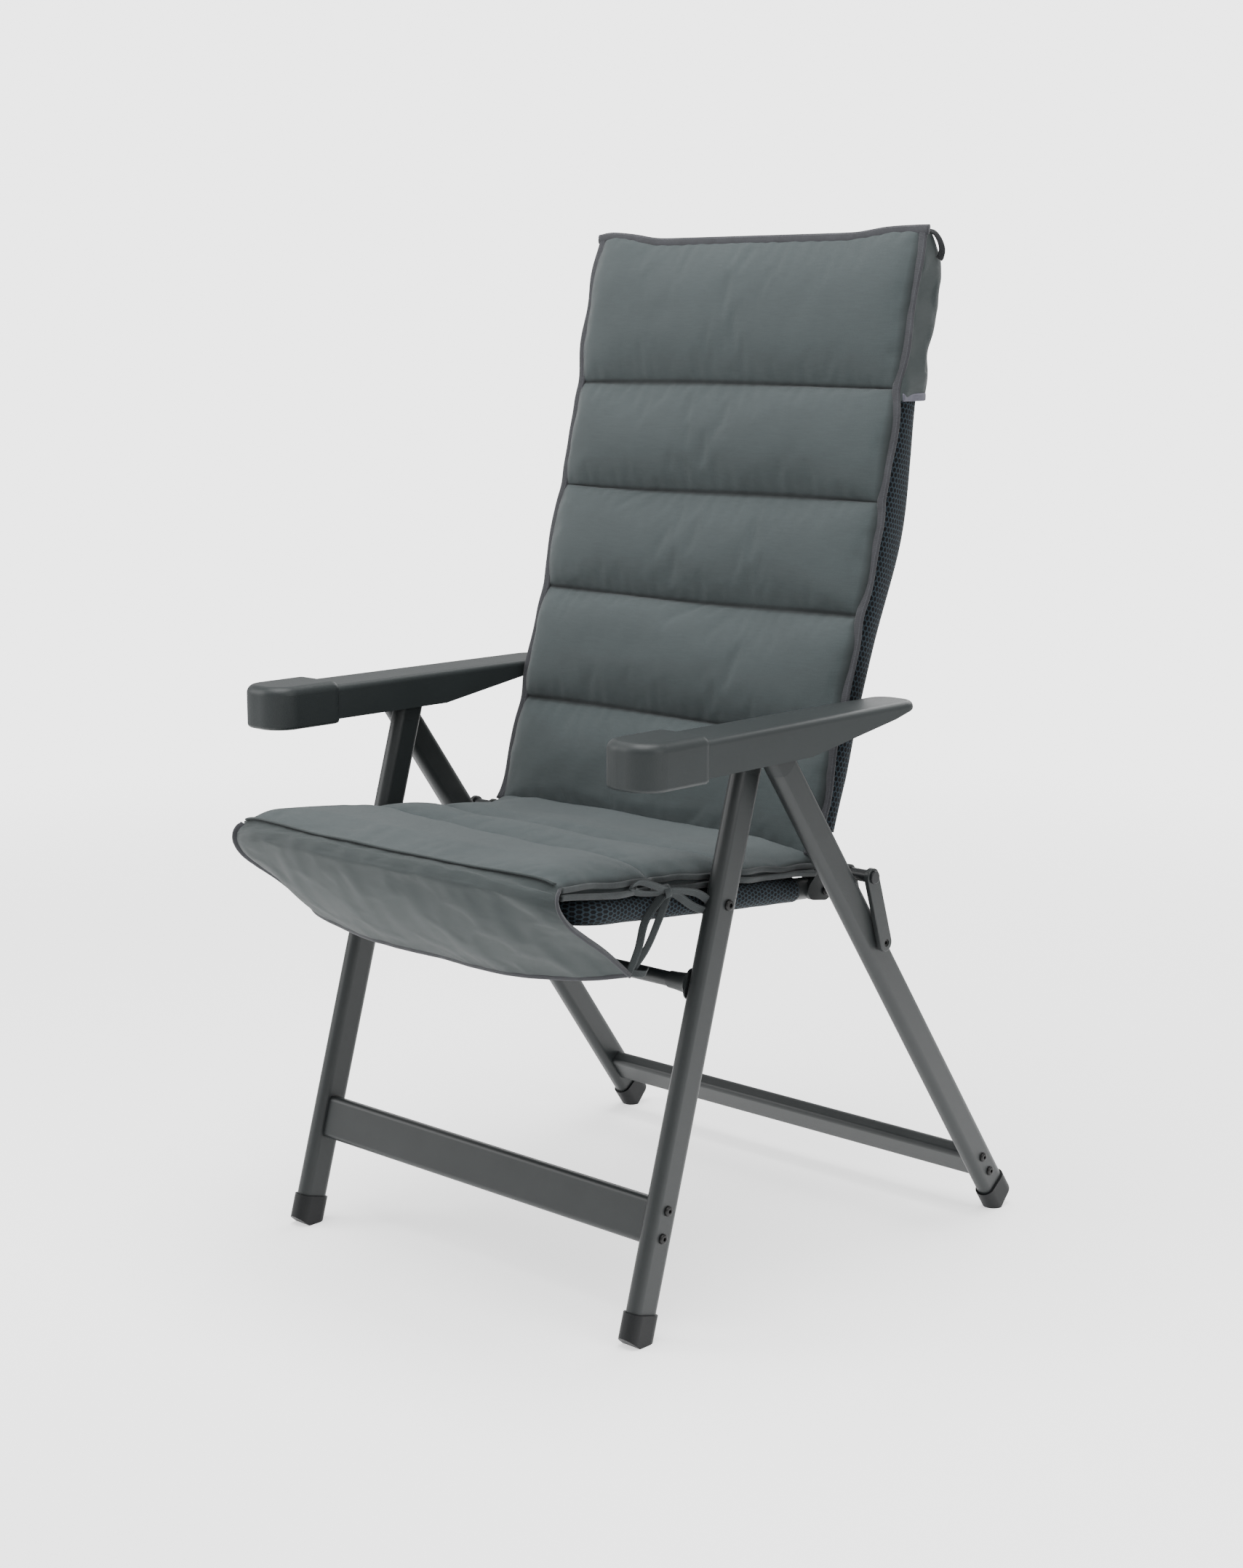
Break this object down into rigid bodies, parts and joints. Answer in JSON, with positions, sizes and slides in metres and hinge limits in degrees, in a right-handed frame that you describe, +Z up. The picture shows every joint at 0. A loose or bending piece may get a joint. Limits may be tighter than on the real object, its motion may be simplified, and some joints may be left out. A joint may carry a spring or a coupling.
{
  "type": "folding chair",
  "caption": "Reclining folding armchair with padded cover, spacer-mesh slings on a tubular frame, adjustable high back and moulded armrests.",
  "frame": {"origin": "on the floor under the middle of the chair", "axes": "+Z up, the sitter faces -Y, +X is the sitter's left"},
  "size_m": [0.649, 0.7335, 1.178],
  "materials": {
    "frame_paint": "anthracite powder coat, satin",
    "arm_plastic": "moulded, fine matte grain",
    "foot_plastic": "moulded, matte",
    "plug_plastic": "moulded, satin",
    "dark_steel": "black oxide",
    "sleeve_plastic": "smooth moulded",
    "spacer_mesh": "three-dimensional spacer mesh",
    "cover_fabric": "fine woven, slight sheen",
    "hood_fabric": "fine woven, slight sheen",
    "tape": "flat woven tape"
  },
  "bodies": {
    "front_frame": {"front_leg_left": "frame_paint", "front_leg_right": "frame_paint", "front_crossbar": "frame_paint", "front_crossbar_inserts": "sleeve_plastic", "front_crossbar_bolts": "dark_steel", "under_seat_brace": "frame_paint", "brace_sockets": "plug_plastic", "front_feet": "foot_plastic", "front_leg_top_plugs": "plug_plastic", "apex_pins": "dark_steel", "seat_pivot_bolts": "dark_steel", "seat_pivot_washers": "sleeve_plastic"},
    "rear_frame": {"rear_leg_left": "frame_paint", "rear_leg_right": "frame_paint", "rear_crossbar": "frame_paint", "rear_crossbar_inserts": "sleeve_plastic", "rear_crossbar_bolts": "dark_steel", "rear_feet": "foot_plastic", "rear_leg_top_plugs": "plug_plastic"},
    "seat": {"seat_rail_left": "frame_paint", "seat_rail_right": "frame_paint", "seat_front_tube": "frame_paint", "seat_rear_tube": "frame_paint", "seat_hinge_brackets": "frame_paint", "seat_bracket_bolts": "dark_steel", "hinge_shafts": "sleeve_plastic", "seat_sling_mesh": "spacer_mesh", "seat_pad": "cover_fabric", "front_flap": "cover_fabric", "tie_tapes_left": "tape", "tie_tapes_right": "tape", "tie_bow_left": "tape", "tie_bow_right": "tape"},
    "back_hinge": {"back_hinge_bushes": "sleeve_plastic", "hinge_axle": "dark_steel"},
    "back": {"back_tube_left": "frame_paint", "back_tube_right": "frame_paint", "back_top_tube": "frame_paint", "back_tube_plugs": "sleeve_plastic", "back_sling_mesh": "spacer_mesh", "back_pad": "cover_fabric", "back_hood": "hood_fabric", "corner_tape_loop": "tape"},
    "link_left": {"link_outer_plate_left": "frame_paint", "link_inner_plate_left": "frame_paint", "link_screws_left": "dark_steel"},
    "arm_pivot_left": {"arm_pivot_pin_left": "dark_steel"},
    "armrest_left": {"armrest_left": "arm_plastic", "ratchet_rack_left": "arm_plastic", "rack_screws_left": "dark_steel"},
    "link_right": {"link_outer_plate_right": "frame_paint", "link_inner_plate_right": "frame_paint", "link_screws_right": "dark_steel"},
    "arm_pivot_right": {"arm_pivot_pin_right": "dark_steel"},
    "armrest_right": {"armrest_right": "arm_plastic", "ratchet_rack_right": "arm_plastic", "rack_screws_right": "dark_steel"}
  },
  "joints": [
    {"name": "seat_fold", "type": "hinge", "parent": "front_frame", "child": "seat", "pos_m": [0, -0.131, 0.458], "axis": [-1, 0, 0], "range_deg": [0, 88.5], "deforming": ["seat_pad", "back_pad", "front_flap", "tie_tapes_left", "tie_tapes_right", "tie_bow_left", "tie_bow_right"]},
    {"name": "rear_leg_fold", "type": "hinge", "parent": "front_frame", "child": "rear_frame", "pos_m": [0, -0.086, 0.621], "axis": [-1, 0, 0], "range_deg": [0, 52.2]},
    {"name": "back_fold", "type": "hinge", "parent": "seat", "child": "back_hinge", "pos_m": [0, 0.069, 0.462], "axis": [-1, 0, 0], "range_deg": [-88.6, 0]},
    {"name": "back_recline", "type": "hinge", "parent": "back_hinge", "child": "back", "pos_m": [0, 0.069, 0.462], "axis": [-1, 0, 0], "range_deg": [0, 35]},
    {"name": "link_fold_left", "type": "hinge", "parent": "seat", "child": "link_left", "pos_m": [0.287, 0.069, 0.462], "axis": [-1, 0, 0], "range_deg": [0, 80.2]},
    {"name": "link_fold_right", "type": "hinge", "parent": "seat", "child": "link_right", "pos_m": [-0.287, 0.069, 0.462], "axis": [-1, 0, 0], "range_deg": [0, 80.2]},
    {"name": "arm_fold_left", "type": "hinge", "parent": "back", "child": "arm_pivot_left", "pos_m": [0.2555, 0.114, 0.625], "axis": [-1, 0, 0], "range_deg": [0, 88.6]},
    {"name": "arm_recline_left", "type": "hinge", "parent": "arm_pivot_left", "child": "armrest_left", "pos_m": [0.2555, 0.114, 0.625], "axis": [-1, 0, 0], "range_deg": [-24.5, 0]},
    {"name": "arm_fold_right", "type": "hinge", "parent": "back", "child": "arm_pivot_right", "pos_m": [-0.2555, 0.114, 0.625], "axis": [-1, 0, 0], "range_deg": [0, 88.6]},
    {"name": "arm_recline_right", "type": "hinge", "parent": "arm_pivot_right", "child": "armrest_right", "pos_m": [-0.2555, 0.114, 0.625], "axis": [-1, 0, 0], "range_deg": [-24.5, 0]}
  ],
  "couplings": [
    {"joint": "rear_leg_fold", "follows": "seat_fold", "ratio": 0.589},
    {"joint": "back_fold", "follows": "seat_fold", "ratio": -1},
    {"joint": "link_fold_left", "follows": "seat_fold", "ratio": 0.903},
    {"joint": "link_fold_right", "follows": "seat_fold", "ratio": 0.903},
    {"joint": "arm_fold_left", "follows": "seat_fold", "ratio": 1},
    {"joint": "arm_recline_left", "follows": "back_recline", "ratio": -0.697},
    {"joint": "arm_fold_right", "follows": "seat_fold", "ratio": 1},
    {"joint": "arm_recline_right", "follows": "back_recline", "ratio": -0.697}
  ]
}
